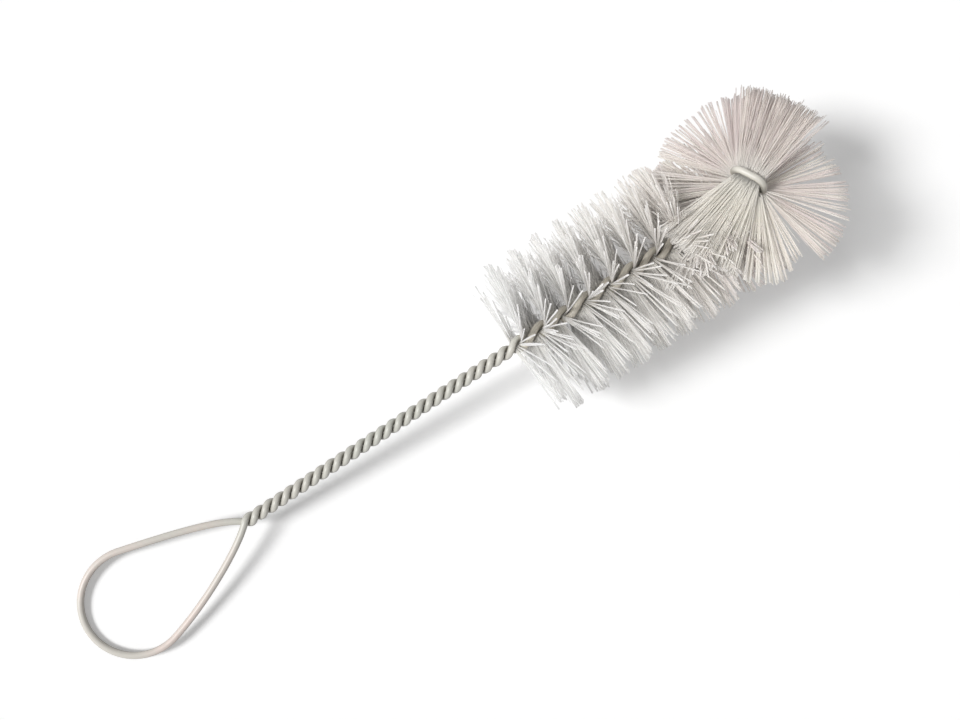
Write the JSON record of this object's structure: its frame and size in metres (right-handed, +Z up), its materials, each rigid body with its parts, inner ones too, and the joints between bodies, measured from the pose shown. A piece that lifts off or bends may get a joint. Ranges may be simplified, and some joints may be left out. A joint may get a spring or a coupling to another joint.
{
  "type": "bottle brush",
  "caption": "Bottle brush: twisted wire stem with a teardrop hanging loop, a spiral of nylon bristles, and a round fanned head bent up at the tip.",
  "frame": {"origin": "on the table under the middle of the brush's length and width, as it lies at rest", "axes": "+X from the handle loop to the bristle head, +Z up from the table, so +Y is to the left when looking from the handle to the head"},
  "size_m": [0.302, 0.0629, 0.0664],
  "materials": {
    "wire": "satin",
    "bristle": "satin"
  },
  "bodies": {
    "root": {"wire": "wire", "bristles_01": "bristle", "bristles_02": "bristle", "bristles_03": "bristle", "bristles_04": "bristle", "bristles_05": "bristle", "bristles_06": "bristle", "bristles_07": "bristle", "bristles_08": "bristle", "bristles_09": "bristle", "bristles_10": "bristle", "bristles_11": "bristle"}
  },
  "joints": []
}
